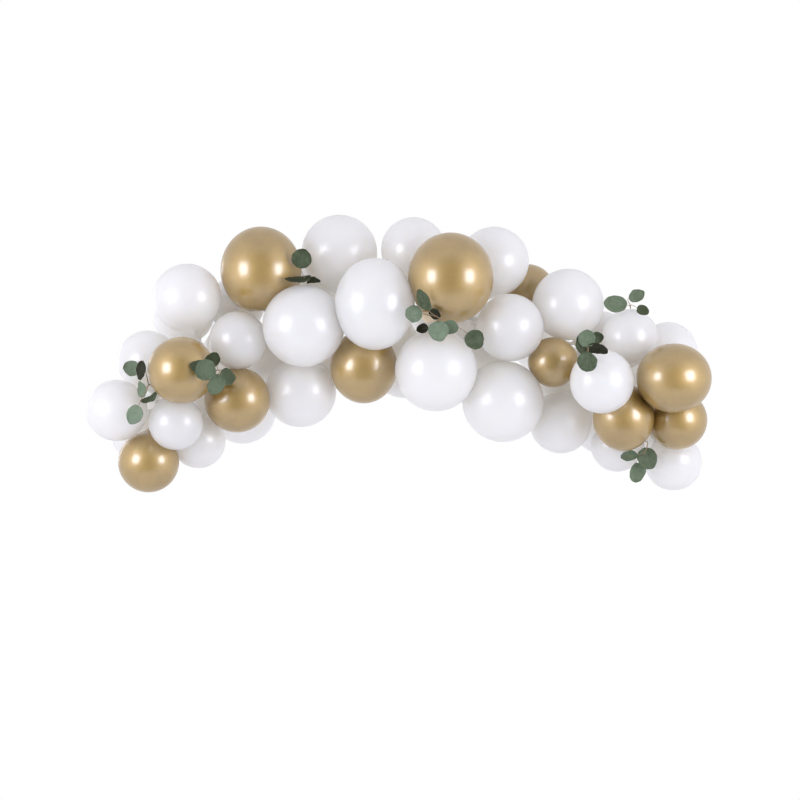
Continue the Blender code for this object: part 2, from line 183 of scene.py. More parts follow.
def corners_of(node):
    """The distinct corners of a CAD solid, whose mesh is loose triangles."""
    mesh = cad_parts[node].data
    corners = np.empty(len(mesh.vertices) * 3, np.float32)
    mesh.vertices.foreach_get("co", corners)
    return np.unique(corners.reshape(-1, 3).astype(float).round(6), axis=0)


def fitted_round(corners):
    """Middle, radius and height over width of the upright oval that most of a balloon's corners
    lie on."""
    origin = corners.mean(axis=0)
    near = (corners - origin) / CM
    terms = np.column_stack([near, np.ones(len(near)), -near[:, 2] ** 2])
    level = (near[:, :2] ** 2).sum(axis=1)
    draws = np.random.default_rng(FIT_SEED).random((FIT_DRAWS, len(near)))
    drawn = draws.argsort(axis=1)[:, :FIT_CORNERS]
    drawn = drawn[abs(np.linalg.det(terms[drawn])) > LEAST_SPREAD]
    ovals = np.linalg.solve(terms[drawn], level[drawn][..., None])[..., 0]
    least, most = FIT_SQUEEZES
    ovals = ovals[(ovals[:, 4] > least) & (ovals[:, 4] < most)]

    def measures(oval):
        squeeze = oval[4]
        middle = oval[:3] / (2, 2, 2 * squeeze)
        square = oval[3] + middle[0] ** 2 + middle[1] ** 2 + squeeze * middle[2] ** 2
        return middle, math.sqrt(max(0.0, square)), 1 / math.sqrt(squeeze)

    def on_round(oval):
        middle, radius, height = measures(oval)
        reach = np.linalg.norm((near - middle) / (1, 1, height), axis=1)
        return abs(reach - radius) < FIT_TOLERANCE / CM

    best = max((on_round(oval) for oval in ovals), key=lambda on: on.sum())
    middle, radius, height = measures(np.linalg.lstsq(terms[best], level[best], rcond=None)[0])
    return origin + middle * CM, radius * CM, round(height, 2)


class Balloon:
    """A balloon as its CAD solid has it: its round body, and the length and way of its neck."""

    def __init__(self, node):
        corners = corners_of(node)
        self.node = node
        self.middle, self.radius, self.height = fitted_round(corners)
        offsets = (corners - self.middle) / (1, 1, self.height)
        farthest = np.linalg.norm(offsets, axis=1).argsort()[-NECK_END_CORNERS:]
        neck = offsets[farthest].mean(axis=0)
        self.neck_length = float(np.linalg.norm(neck))
        self.neck_way = neck / self.neck_length

    def contact_feet(self, balloons):
        """Where the plane of each contact that the balloon may press on comes nearest to its
        middle, as offsets from it: those with the balloons round it, and one with the strip."""
        feet = []
        for other in balloons:
            between = other.middle - self.middle
            span = np.linalg.norm(between)
            if other is not self and span < NECK_LONGEST * (self.radius + other.radius):
                to_face = (span ** 2 + self.radius ** 2 - other.radius ** 2) / (2 * span)
                feet.append(between / span * (to_face - CONTACT_GAP / 2))
        end_angle = math.asin(STRIP_HALF_SPAN / STRIP_RADIUS)
        angle = math.atan2(self.middle[0], self.middle[2] + STRIP_RADIUS)
        angle = max(-end_angle, min(end_angle, angle))
        on_strip = STRIP_RADIUS * np.array([math.sin(angle), 0, math.cos(angle) - 1])
        to_strip = on_strip - self.middle
        distance = np.linalg.norm(to_strip)
        feet.append(to_strip / distance * (distance - STRIP_KEEP_OUT))
        return feet


class Blade:
    """A sprig's leaf blade: its middle, the way of its tip, its face to the front, and its size."""

    def __init__(self, middle, face, tip, width):
        self.middle = middle
        self.face = face
        self.length = 2 * float(np.linalg.norm(tip))
        self.tip_way = tip / np.linalg.norm(tip)
        self.width = width

    def along(self, part):
        """The place at a part of its length, from the stem to the tip."""
        return self.middle + self.tip_way * self.length * (part - 0.5)


def fitted_blade(flat, middle, face):
    """The leaf whose outline the most corners in a blade's own plane lie on, or None."""
    best, found = FEWEST_EDGE_CORNERS - 1, None
    widest_place = CAD_BLADE_EDGE[1][0]
    for tip in flat:
        length = 2 * np.linalg.norm(tip)
        if length < BLADE_SHORTEST:
            continue
        way = 2 * tip / length
        along = flat @ way / length
        across = abs(flat @ np.cross(way, face))
        for width in 2 * across[abs(along - widest_place) < ROW_TOLERANCE]:
            hits = sum(
                ((abs(along - part) * length < EDGE_TOLERANCE)
                 & (abs(across - half * width) < EDGE_TOLERANCE)).sum()
                for part, half in CAD_BLADE_EDGE)
            if hits > best:
                best, found = hits, Blade(middle, face, tip, width)
    return found


def gaps_between(corners):
    return np.linalg.norm(corners[:, None] - corners[None], axis=-1)


def pairs_apart(corners, distance):
    """The indices of every two corners that are this far apart."""
    return np.argwhere(np.triu(abs(gaps_between(corners) - distance) < PAIR_TOLERANCE))


def blades_of(corners):
    """The leaf blades of a sprig, found from the two corners that stand out either side of a
    blade's middle."""
    blades = []
    for i, j in pairs_apart(corners, CAD_BLADE_THICKNESS):
        middle = (corners[i] + corners[j]) / 2
        face = corners[j] - corners[i]
        face = face / np.linalg.norm(face) * -math.copysign(1, face[1])
        offsets = corners - middle
        flat = abs(offsets @ face) < FLATNESS
        near = np.linalg.norm(offsets, axis=1) < BLADE_LONGEST / 2
        blade = fitted_blade(offsets[flat & near], middle, face)
        if blade is not None:
            blades.append(blade)
    return blades


def stem_ends(corners, blades):
    """Where a sprig's stems part, and the end of the stem below that, from the corners that no
    blade has."""
    def on_blade(corner, blade):
        offset = corner - blade.middle
        return (abs(offset @ blade.face) <= CAD_BLADE_THICKNESS
                and np.linalg.norm(offset) <= blade.length / 2)

    loose = np.array([c for c in corners if not any(on_blade(c, blade) for blade in blades)])
    close = gaps_between(loose) < STEMS_PART_WITHIN
    parting = loose[close[close.sum(axis=1).argmax()]].mean(axis=0)
    across = [(loose[i] + loose[j]) / 2 for i, j in pairs_apart(loose, CAD_FOOT_ACROSS)]
    crossings = [a for k, a in enumerate(across) for b in across[k + 1:]
                 if np.linalg.norm(a - b) < CROSSING_TOLERANCE]
    foot = max(crossings, key=lambda point: np.linalg.norm(point - parting))
    return parting, foot


# ---- building tools ----

def set_inputs(tree, node, inputs):
    """Give each of these inputs of a node, by name or number, a value, the socket that it is
    linked from, or the node whose first output it is linked from.

    By number, a map range has its value at 0, the range that this comes from at 1 and 2, and the
    range that it goes to at 3 and 4. A mix of colours has its factor at 0, its colours at 6 and 7,
    and its result at output 2."""
    for socket, value in inputs.items():
        if isinstance(value, bpy.types.Node):
            value = value.outputs[0]
        if isinstance(value, bpy.types.NodeSocket):
            tree.links.new(value, node.inputs[socket])
        else:
            node.inputs[socket].default_value = value


def add_node(tree, kind, inputs=None, **settings):
    """Add a node with its inputs and its settings."""
    node = tree.nodes.new(kind)
    for name, value in settings.items():
        setattr(node, name, value)
    set_inputs(tree, node, inputs or {})
    return node


def new_shape_tree(name, inputs):
    """A geometry tree and the sockets of its named inputs."""
    tree = bpy.data.node_groups.new(name, "GeometryNodeTree")
    for label, kind in inputs.items():
        tree.interface.new_socket(label, in_out="INPUT", socket_type="NodeSocket" + kind)
    tree.interface.new_socket("Geometry", in_out="OUTPUT", socket_type="NodeSocketGeometry")
    return tree, tree.nodes.new("NodeGroupInput").outputs


def finish_shape_tree(tree, geometry, *coats):
    """End a tree: instances made real, then each finish set, on the faces that its attribute
    marks if it has one."""
    shape = add_node(tree, "GeometryNodeRealizeInstances", {0: geometry})
    for finish, marked in coats:
        shape = add_node(tree, "GeometryNodeSetMaterial", {0: shape, "Material": finish})
        if marked:
            faces = add_node(tree, "GeometryNodeInputNamedAttribute", {"Name": marked},
                             data_type="FLOAT")
            set_inputs(tree, shape, {"Selection": faces})
    add_node(tree, "NodeGroupOutput", {0: shape})


def link_object(name, data):
    obj = bpy.data.objects.new(name, data)
    bpy.context.scene.collection.objects.link(obj)
    return obj


def points_object(name, points, edges=()):
    mesh = bpy.data.meshes.new(name)
    mesh.from_pydata([tuple(map(float, p)) for p in points], list(edges), [])
    return link_object(name, mesh)


def mesh_object(name, build):
    """A mesh with its faces turned outwards, from what this function builds."""
    bm = bmesh.new()
    build(bm)
    bmesh.ops.recalc_face_normals(bm, faces=bm.faces)
    mesh = bpy.data.meshes.new(name)
    bm.to_mesh(mesh)
    bm.free()
    return link_object(name, mesh)


def shaped(name, tree, values):
    """A plain mesh piece, made by a geometry tree from these values of its inputs."""
    piece = link_object(name, bpy.data.meshes.new(name))
    modifier = piece.modifiers.new(name, "NODES")
    modifier.node_group = tree
    for item in tree.interface.items_tree:
        if item.in_out == "INPUT":
            modifier[item.identifier] = values[item.name]
    bpy.context.view_layer.update()
    made = piece.evaluated_get(bpy.context.evaluated_depsgraph_get())
    mesh = bpy.data.meshes.new_from_object(made)
    piece.modifiers.clear()
    piece.data = mesh
    mesh.name = name
    return piece


def discard(*objects):
    for obj in objects:
        bpy.data.objects.remove(obj, do_unlink=True)


def stand_for(piece, node):
    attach(piece, "root")
    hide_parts(node)


def linear(colour):
    """An sRGB hex colour as linear red, green, blue and alpha."""
    parts = [int(colour[k:k + 2], 16) / 255 for k in (1, 3, 5)]
    return [p / 12.92 if p <= 0.04045 else ((p + 0.055) / 1.055) ** 2.4 for p in parts] + [1.0]


def new_finish(name):
    material = bpy.data.materials.new(name)
    material.use_nodes = True
    return material, material.node_tree, material.node_tree.nodes["Principled BSDF"]


def per_metre(size):
    """The scale of a texture whose features are this size, in metres."""
    return 1 / size


def set_stops(ramp, *stops):
    """Give a colour ramp its stops, (place, hex colour) each."""
    elements = ramp.color_ramp.elements
    while len(elements) < len(stops):
        elements.new(0.5)
    for element, (place, colour) in zip(elements, stops):
        element.position = place
        element.color = linear(colour)
    return ramp


# ---- finishes ----

def white_latex():
    """Natural rubber latex, dipped on a former and blown up: a smooth, satin-bright white skin
    that lets light through, clouded where it stretched unevenly and creamier where it stayed
    thick."""
    material, tree, shader = new_finish("white_latex")
    node = partial(add_node, tree)
    place = node("ShaderNodeTexCoord").outputs["Object"]
    clouds = node("ShaderNodeTexNoise", {
        "Vector": place, "Scale": per_metre(70 * MM), "Detail": 3.0, "Roughness": 0.45})
    body = set_stops(node("ShaderNodeValToRGB", {0: clouds}), (0.35, "#FCF9F0"), (0.65, "#FDFBF5"))
    neckward = node("ShaderNodeAttribute", attribute_name="neckward").outputs["Fac"]
    thick = node("ShaderNodeMapRange", {
        0: neckward, 1: TINT_START, 2: TINT_FULL, 3: 0.0, 4: 0.8})
    skin = node("ShaderNodeMix", {0: thick, 6: body, 7: linear("#F0E8D4")}, data_type="RGBA")
    ripple = node("ShaderNodeTexNoise", {
        "Vector": place, "Scale": per_metre(9 * MM), "Detail": 2.0, "Roughness": 0.5})
    relief = node("ShaderNodeBump", {"Height": ripple, "Strength": 0.2, "Distance": 0.05 * MM})
    gloss = node("ShaderNodeMapRange", {0: clouds, 1: 0.3, 2: 0.7, 3: 0.34, 4: 0.40})
    # light crosses the hollow balloon, so its spread is a good part of the width
    set_inputs(tree, shader, {
        "Base Color": skin.outputs[2], "Normal": relief, "Roughness": gloss, "IOR": 1.52,
        "Subsurface Weight": 1.0, "Subsurface Radius": (1.0, 0.92, 0.8),
        "Subsurface Scale": 500 * MM, "Coat Weight": 0.4, "Coat Roughness": 0.2})
    return material


def gold_latex():
    """Latex filled with champagne-gold mica and blown up: a soft metallic sheen under a glossy
    skin, a little paler where the skin stretched thin and darker at the thick neck."""
    material, tree, shader = new_finish("gold_latex")
    node = partial(add_node, tree)
    place = node("ShaderNodeTexCoord").outputs["Object"]
    clouds = node("ShaderNodeTexNoise", {
        "Vector": place, "Scale": per_metre(60 * MM), "Detail": 3.0, "Roughness": 0.5})
    body = set_stops(node("ShaderNodeValToRGB", {0: clouds}), (0.35, "#AD9150"), (0.65, "#B89B58"))
    neckward = node("ShaderNodeAttribute", attribute_name="neckward").outputs["Fac"]
    thick = node("ShaderNodeMapRange", {
        0: neckward, 1: TINT_START, 2: TINT_FULL, 3: 0.0, 4: 0.7})
    skin = node("ShaderNodeMix", {0: thick, 6: body, 7: linear("#7E6234")}, data_type="RGBA")
    # mica flakes are a tenth of this size; drawn coarser, so that their sheen shows a grain
    flakes = node("ShaderNodeTexVoronoi", {"Vector": place, "Scale": per_metre(1.2 * MM)})
    grain = node("ShaderNodeSeparateColor", {0: flakes.outputs["Color"]})
    tint = node("ShaderNodeMapRange", {0: grain, 3: 0.975, 4: 1.02})
    lit = node("ShaderNodeVectorMath", {0: skin.outputs[2], "Scale": tint}, operation="SCALE")
    gloss = node("ShaderNodeMapRange", {0: grain.outputs[1], 3: 0.60, 4: 0.64})
    relief = node("ShaderNodeBump", {"Height": clouds, "Strength": 0.2, "Distance": 0.4 * MM})
    set_inputs(tree, shader, {
        "Base Color": lit, "Normal": relief, "Roughness": gloss, "Metallic": 0.85,
        "Coat Weight": 1.0, "Coat IOR": 2.15, "Coat Roughness": 0.25})
    return material


def eucalyptus_leaf():
    """A eucalyptus leaf with its waxy bloom: from grey-green on broad old leaves to olive on young
    ones and brown where one is seen from below, the darkest leaves darkened further by painted
    shade; mottled, with a faint paler midrib and side veins."""
    material, tree, shader = new_finish("eucalyptus_leaf")
    node = partial(add_node, tree)
    place = node("ShaderNodeTexCoord")
    bloom = node("ShaderNodeTexNoise", {
        "Vector": place.outputs["Object"], "Scale": per_metre(14 * MM), "Detail": 5.0,
        "Roughness": 0.6})
    # each leaf's tone is its own colour and painted shade together: the lowest, darkest stops below
    # are painted shade
    tone_and_shade = node("ShaderNodeAttribute", attribute_name="leaf_tone_and_shade").outputs["Fac"]
    mottle = node("ShaderNodeMapRange", {0: bloom, 1: 0.25, 2: 0.75, 3: -0.14, 4: 0.14})
    shade = node("ShaderNodeMath", {0: tone_and_shade, 1: mottle}, operation="ADD")
    green = set_stops(
        node("ShaderNodeValToRGB", {0: shade}), (0.05, "#28291A"), (0.35, "#465038"),
        (0.6, "#5F6E58"), (0.8, "#6D7D66"), (1.0, "#80927D"))
    dryness = node("ShaderNodeAttribute", attribute_name="leaf_dryness").outputs["Fac"]
    dried = node("ShaderNodeMix", {0: dryness, 6: green, 7: linear("#E2D0B4")}, data_type="RGBA")
    flat = node("ShaderNodeSeparateXYZ", {0: place.outputs["UV"]})
    along, across = flat.outputs[0], flat.outputs[1]
    # the leaf's own map runs 0 to 1 from stem to tip, and 0 to 1 from edge to edge
    aside = node("ShaderNodeMath", {0: across, 1: 0.5}, operation="SUBTRACT")
    off_rib = node("ShaderNodeMath", {0: aside}, operation="ABSOLUTE")
    rib = node("ShaderNodeMapRange", {0: off_rib, 1: 0.006, 2: 0.03, 3: 1.0, 4: 0.0})
    slant = node("ShaderNodeMath", {0: off_rib, 1: -VEIN_SLANT, 2: along},
                 operation="MULTIPLY_ADD")
    stripes = node("ShaderNodeMath", {0: slant, 1: SIDE_VEINS * 2 * math.pi}, operation="MULTIPLY")
    wave = node("ShaderNodeMath", {0: stripes}, operation="SINE")
    side_vein = node("ShaderNodeMapRange", {0: wave, 1: 0.85, 2: 1.0, 3: 0.0, 4: 0.35})
    veins = node("ShaderNodeMath", {0: rib, 1: side_vein}, operation="MAXIMUM")
    paler = node("ShaderNodeMath", {0: veins, 1: 0.10}, operation="MULTIPLY")
    veined = node("ShaderNodeMix", {0: paler, 6: dried.outputs[2], 7: linear("#A8AF98")},
                  data_type="RGBA")
    relief = node("ShaderNodeBump", {"Height": veins, "Strength": 0.35, "Distance": 0.3 * MM})
    gloss = node("ShaderNodeMapRange", {0: bloom, 3: 0.5, 4: 0.7})
    set_inputs(tree, shader, {
        "Base Color": veined.outputs[2], "Normal": relief, "Roughness": gloss,
        "Specular IOR Level": 0.2})
    return material


def eucalyptus_stem():
    """A young woody stem: pale beige, pinkish brown in streaks, with a dull bark."""
    material, tree, shader = new_finish("eucalyptus_stem")
    node = partial(add_node, tree)
    place = node("ShaderNodeTexCoord").outputs["Object"]
    bark = node("ShaderNodeTexNoise", {
        "Vector": place, "Scale": per_metre(8 * MM), "Detail": 4.0, "Roughness": 0.65})
    streaks = set_stops(node("ShaderNodeValToRGB", {0: bark}), (0.35, "#866A50"), (0.65, "#B39F80"))
    relief = node("ShaderNodeBump", {"Height": bark, "Strength": 0.6, "Distance": 0.3 * MM})
    set_inputs(tree, shader, {"Base Color": streaks, "Normal": relief, "Roughness": 0.7})
    return material


def clear_plastic():
    """Clear vinyl, rolled flat and punched: see-through, faintly milky, with fine rolling marks."""
    material, tree, shader = new_finish("clear_strip")
    node = partial(add_node, tree)
    place = node("ShaderNodeTexCoord").outputs["Object"]
    haze = node("ShaderNodeTexNoise", {
        "Vector": place, "Scale": per_metre(20 * MM), "Detail": 3.0, "Roughness": 0.5})
    milky = set_stops(node("ShaderNodeValToRGB", {0: haze}), (0.3, "#E8EEEE"), (0.7, "#F6F9F9"))
    gloss = node("ShaderNodeMapRange", {0: haze, 3: 0.12, 4: 0.3})
    relief = node("ShaderNodeBump", {"Height": haze, "Strength": 0.3, "Distance": 0.1 * MM})
    set_inputs(tree, shader, {
        "Base Color": milky, "Normal": relief, "Roughness": gloss, "IOR": 1.53,
        "Transmission Weight": 0.75})
    return material


# ---- balloons ----

def curve_point(handles, part):
    """A point on the smooth curve with these four handles."""
    a, b, c, d = (np.array(p) for p in handles)
    rest = 1 - part
    return a * rest ** 3 + 3 * b * rest ** 2 * part + 3 * c * rest * part ** 2 + d * part ** 3


def balloon_profile(radius, neck_length):
    """The rings of a balloon from its crown to its lip, each as its distance from the axis, the
    depth of its gathers and its place along the axis."""
    rows = []
    for k in range(ROUND_STEPS + 1):
        angle = (math.pi - SHOULDER) * k / ROUND_STEPS
        rows.append((radius * math.sin(angle), 0.0, -radius * math.cos(angle)))
    knot = neck_length - KNOT_FROM_END
    shoulder = np.array((math.cos(SHOULDER), math.sin(SHOULDER))) * radius
    neck = np.array((knot - NECK_TO_KNOT, NECK_RADIUS))
    reach = np.linalg.norm(neck - shoulder)
    sloping = np.array((math.sin(SHOULDER), -math.cos(SHOULDER)))
    handles = (shoulder, shoulder + sloping * SHOULDER_HANDLE * reach,
               neck + np.array((-NECK_HANDLE * reach, NECK_FLARE)), neck)
    for k in range(1, TAPER_STEPS + 1):
        part = k / TAPER_STEPS
        along, out = curve_point(handles, part)
        gathered = max(0.0, (part - GATHERS_START) / (1 - GATHERS_START))
        rows.append((out, GATHERS_DEPTH * gathered ** 2, along))
    rows += [(out * MM, gather * MM, knot + past * MM) for past, out, gather in KNOT_AND_LIP]
    return rows


def balloon_tree():
    """A balloon: its profile turned round the neck's axis, gathered at the neck, then pressed flat
    wherever it reaches the plane of a contact."""
    tree, given = new_shape_tree("inflated_balloon", {
        "Profile": "Object", "Contacts": "Object", "Middle": "Vector", "Neck Way": "Vector",
        "Height over Width": "Float", "Radius": "Float", "Softness": "Float", "Sides": "Int",
        "Gathers": "Int", "Latex": "Material"})
    node = partial(add_node, tree)
    profile = node("GeometryNodeObjectInfo", {"Object": given["Profile"]}).outputs["Geometry"]
    rings = node("GeometryNodeAttributeDomainSize", {0: profile}).outputs["Point Count"]
    seam = node("ShaderNodeMath", {0: given["Sides"], 1: 1.0}, operation="ADD")
    sheet = node("GeometryNodeMeshGrid", {
        "Size X": 1.0, "Size Y": 1.0, "Vertices X": rings, "Vertices Y": seam})
    position = node("GeometryNodeInputPosition")
    on_sheet = node("ShaderNodeSeparateXYZ", {0: position})
    down = node("ShaderNodeMath", {0: on_sheet.outputs[0], 1: 0.5}, operation="ADD")
    last_ring = node("ShaderNodeMath", {0: rings, 1: 1.0}, operation="SUBTRACT")
    ring = node("ShaderNodeMath", {0: down, 1: last_ring}, operation="MULTIPLY")
    ring = node("FunctionNodeFloatToInt", {0: ring}, rounding_mode="ROUND")
    round_part = node("ShaderNodeMath", {0: on_sheet.outputs[1], 1: 0.5}, operation="ADD")
    turn = node("ShaderNodeMath", {0: round_part, 1: 2 * math.pi}, operation="MULTIPLY")
    row = node("GeometryNodeSampleIndex", {"Geometry": profile, "Value": position, "Index": ring},
               data_type="FLOAT_VECTOR")
    row = node("ShaderNodeSeparateXYZ", {0: row})
    # gathers are rounded folds, deepest half-way between two ridges
    half_gathers = node("ShaderNodeMath", {0: given["Gathers"], 1: 0.5}, operation="MULTIPLY")
    fold_turn = node("ShaderNodeMath", {0: turn, 1: half_gathers}, operation="MULTIPLY")
    wave = node("ShaderNodeMath", {0: fold_turn}, operation="COSINE")
    ridge = node("ShaderNodeMath", {0: wave}, operation="ABSOLUTE")
    fold = node("ShaderNodeMath", {0: 1.0, 1: ridge}, operation="SUBTRACT")
    folded = node("ShaderNodeMath", {0: row.outputs[1], 1: fold}, operation="MULTIPLY")
    out = node("ShaderNodeMath", {0: row, 1: folded}, operation="SUBTRACT")
    cosine = node("ShaderNodeMath", {0: turn}, operation="COSINE")
    sine = node("ShaderNodeMath", {0: turn}, operation="SINE")
    x = node("ShaderNodeMath", {0: out, 1: cosine}, operation="MULTIPLY")
    y = node("ShaderNodeMath", {0: out, 1: sine}, operation="MULTIPLY")
    turned = node("ShaderNodeCombineXYZ", {0: x, 1: y, 2: row.outputs[2]})
    to_neck = node("FunctionNodeAlignRotationToVector", {"Vector": given["Neck Way"]}, axis="Z")
    offset = node("FunctionNodeRotateVector", {"Vector": turned, "Rotation": to_neck})
    squeeze = node("ShaderNodeCombineXYZ", {0: 1.0, 1: 1.0, 2: given["Height over Width"]})
    offset = node("ShaderNodeVectorMath", {0: offset, 1: squeeze}, operation="MULTIPLY")
    way = node("ShaderNodeVectorMath", {0: offset}, operation="NORMALIZE")
    free_reach = node("ShaderNodeVectorMath", {0: offset}, operation="LENGTH").outputs["Value"]

    contacts = node("GeometryNodeObjectInfo", {"Object": given["Contacts"]}).outputs["Geometry"]
    count = node("GeometryNodeAttributeDomainSize", {0: contacts}).outputs["Point Count"]
    start = node("GeometryNodeRepeatInput")
    end = node("GeometryNodeRepeatOutput")
    start.pair_with_output(end)
    end.repeat_items.clear()
    end.repeat_items.new("FLOAT", "Reach")
    set_inputs(tree, start, {"Iterations": count, "Reach": free_reach})
    foot = node("GeometryNodeSampleIndex", {
        "Geometry": contacts, "Value": position, "Index": start.outputs["Iteration"]},
        data_type="FLOAT_VECTOR")
    towards = node("ShaderNodeVectorMath", {0: way, 1: foot}, operation="DOT_PRODUCT")
    facing = node("ShaderNodeMath", {0: towards.outputs["Value"], 1: LEAST_FACING},
                  operation="MAXIMUM")
    square = node("ShaderNodeVectorMath", {0: foot, 1: foot}, operation="DOT_PRODUCT")
    to_plane = node("ShaderNodeMath", {0: square.outputs["Value"], 1: facing}, operation="DIVIDE")
    pressed = node("ShaderNodeMath", {
        0: start.outputs["Reach"], 1: to_plane, 2: given["Softness"]}, operation="SMOOTH_MIN")
    set_inputs(tree, end, {"Reach": pressed})

    placed = node("ShaderNodeVectorMath", {0: way, "Scale": end.outputs["Reach"]},
                  operation="SCALE")
    placed = node("ShaderNodeVectorMath", {0: placed, 1: given["Middle"]}, operation="ADD")
    neckward = node("ShaderNodeMath", {0: row.outputs[2], 1: given["Radius"]}, operation="DIVIDE")
    marked = node("GeometryNodeStoreNamedAttribute", {
        0: sheet, "Name": "neckward", "Value": neckward}, domain="POINT", data_type="FLOAT")
    skin = node("GeometryNodeSetPosition", {0: marked, "Position": placed})
    closed = node("GeometryNodeMergeByDistance", {0: skin, "Distance": WELD_WITHIN})
    # turned round the axis, the grid's faces look inwards
    outward = node("GeometryNodeFlipFaces", {0: closed})
    finish_shape_tree(tree, outward, (given["Latex"], None))
    return tree


def make_balloons():
    finishes = {"white": white_latex(), "gold": gold_latex()}
    tree = balloon_tree()
    balloons = [Balloon(node) for node in sorted(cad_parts) if "_balloon_" in node]
    for balloon in balloons:
        colour = balloon.node.split("_")[0]
        profile = points_object("profile", balloon_profile(balloon.radius, balloon.neck_length))
        contacts = points_object("contacts", balloon.contact_feet(balloons))
        piece = shaped(balloon.node + "_skin", tree, {
            "Profile": profile, "Contacts": contacts, "Middle": balloon.middle.tolist(),
            "Neck Way": balloon.neck_way.tolist(), "Height over Width": balloon.height,
            "Radius": balloon.radius, "Softness": CONTACT_SOFTNESS, "Sides": AROUND,
            "Gathers": GATHERS, "Latex": finishes[colour]})
        piece.data.shade_smooth()
        discard(profile, contacts)
        stand_for(piece, balloon.node)


# ---- decorating strip ----

def add_plate(bm, start, end, radius=0.0):
    """A flat plate between two places along the strip, open at both ends, with a round hole in its
    middle if it has a radius."""
    half = STRIP_WIDTH / 2
    length = end - start
    side = HOLE_SIDES // 4
    steps = [k / side for k in range(side)]
    # down one end, along the lower edge, up the other end, and back along the upper edge
    rim = [(start, half - 2 * half * p) for p in steps]
    rim += [(start + length * p, -half) for p in steps]
    rim += [(end, -half + 2 * half * p) for p in steps]
    rim += [(end - length * p, half) for p in steps]
    hole = [(0.0, 0.0)]
    if radius:
        angles = [FIRST_HOLE_CORNER + 2 * math.pi * k / HOLE_SIDES for k in range(HOLE_SIDES)]
        hole = [(radius * math.cos(a), radius * math.sin(a)) for a in angles]
    middle = (start + end) / 2
    faces = []
    for depth in (-STRIP_THICKNESS, 0.0):
        outer = [bm.verts.new((x, depth, z)) for x, z in rim]
        inner = [bm.verts.new((middle + x, depth, z)) for x, z in hole]
        faces.append((outer, inner))
    (front, hole_front), (back, hole_back) = faces
    count = len(rim)
    for k in range(count):
        n = (k + 1) % count
        for outer, inner in faces:
            bm.faces.new((outer[k], outer[n]) + ((inner[n], inner[k]) if radius else (inner[0],)))
        if k // side in (1, 3):
            bm.faces.new((front[k], back[k], back[n], front[n]))
        if radius:
            bm.faces.new((hole_front[k], hole_front[n], hole_back[n], hole_back[k]))


def strip_tree():
    """The strip: one punched cell repeated along a line, welded, then bent into its arc."""
    tree, given = new_shape_tree("decorating_strip", {
        "Cell": "Object", "Ends": "Object", "Cells": "Int", "Pitch": "Float", "Arc Radius": "Float",
        "Plastic": "Material"})
    node = partial(add_node, tree)
    cell, ends = (
        node("GeometryNodeObjectInfo", {"Object": given[part]}).outputs["Geometry"]
        for part in ("Cell", "Ends"))
    length = node("ShaderNodeMath", {0: given["Cells"], 1: given["Pitch"]}, operation="MULTIPLY")
    first = node("ShaderNodeMath", {0: length, 1: -0.5}, operation="MULTIPLY")
    start = node("ShaderNodeCombineXYZ", {0: first})
    step = node("ShaderNodeCombineXYZ", {0: given["Pitch"]})
    line = node("GeometryNodeMeshLine", {
        "Count": given["Cells"], "Start Location": start, "Offset": step})
    cells = node("GeometryNodeInstanceOnPoints", {"Points": line, "Instance": cell})
    flat = node("GeometryNodeJoinGeometry", {0: cells})
    set_inputs(tree, flat, {0: ends})
    flat = node("GeometryNodeRealizeInstances", {0: flat})
    flat = node("GeometryNodeMergeByDistance", {0: flat, "Distance": CELLS_WELD_WITHIN})
    place = node("ShaderNodeSeparateXYZ", {0: node("GeometryNodeInputPosition")})
    angle = node("ShaderNodeMath", {0: place, 1: given["Arc Radius"]}, operation="DIVIDE")
    out = node("ShaderNodeMath", {0: given["Arc Radius"], 1: place.outputs[2]}, operation="ADD")
    sine = node("ShaderNodeMath", {0: angle}, operation="SINE")
    cosine = node("ShaderNodeMath", {0: angle}, operation="COSINE")
    x = node("ShaderNodeMath", {0: out, 1: sine}, operation="MULTIPLY")
    height = node("ShaderNodeMath", {0: out, 1: cosine}, operation="MULTIPLY")
    z = node("ShaderNodeMath", {0: height, 1: given["Arc Radius"]}, operation="SUBTRACT")
    bent = node("ShaderNodeCombineXYZ", {0: x, 1: place.outputs[1], 2: z})
    arc = node("GeometryNodeSetPosition", {0: flat, "Position": bent})
    finish_shape_tree(tree, arc, (given["Plastic"], None))
    return tree


def make_strip():
    half_length = STRIP_RADIUS * math.asin(STRIP_HALF_SPAN / STRIP_RADIUS)
    cells = 2 * int(half_length / HOLE_PITCH)
    last_cell = cells * HOLE_PITCH / 2

    def build_cell(bm):
        plain = (HOLE_PITCH - PUNCHED_LENGTH) / 2
        add_plate(bm, 0.0, plain)
        add_plate(bm, plain, plain + PUNCHED_LENGTH, HOLE_RADIUS)
        add_plate(bm, plain + PUNCHED_LENGTH, HOLE_PITCH)
        bmesh.ops.remove_doubles(bm, verts=bm.verts, dist=WELD_WITHIN)

    def build_ends(bm):
        """The plain lengths past the last cells, each closed at its outer end."""
        for sign in (-1, 1):
            before = set(bm.verts)
            add_plate(bm, last_cell, half_length)
            new = [v for v in bm.verts if v not in before]
            outer = [e for e in bm.edges if e.is_boundary and all(
                v in new and abs(v.co.x - half_length) < WELD_WITHIN for v in e.verts)]
            rows = sorted({v for e in outer for v in e.verts}, key=lambda v: (v.co.y, v.co.z))
            fronts, backs = rows[:len(rows) // 2], rows[len(rows) // 2:]
            for k in range(len(fronts) - 1):
                bm.faces.new((fronts[k], fronts[k + 1], backs[k + 1], backs[k]))
            if sign < 0:
                for v in new:
                    v.co.x *= -1

    cell = mesh_object("cell", build_cell)
    ends = mesh_object("ends", build_ends)
    piece = shaped("decorating_strip_punched", strip_tree(), {
        "Cell": cell, "Ends": ends, "Cells": cells, "Pitch": HOLE_PITCH, "Arc Radius": STRIP_RADIUS,
        "Plastic": clear_plastic()})
    discard(cell, ends)
    stand_for(piece, "decorating_strip")


# ---- eucalyptus ----

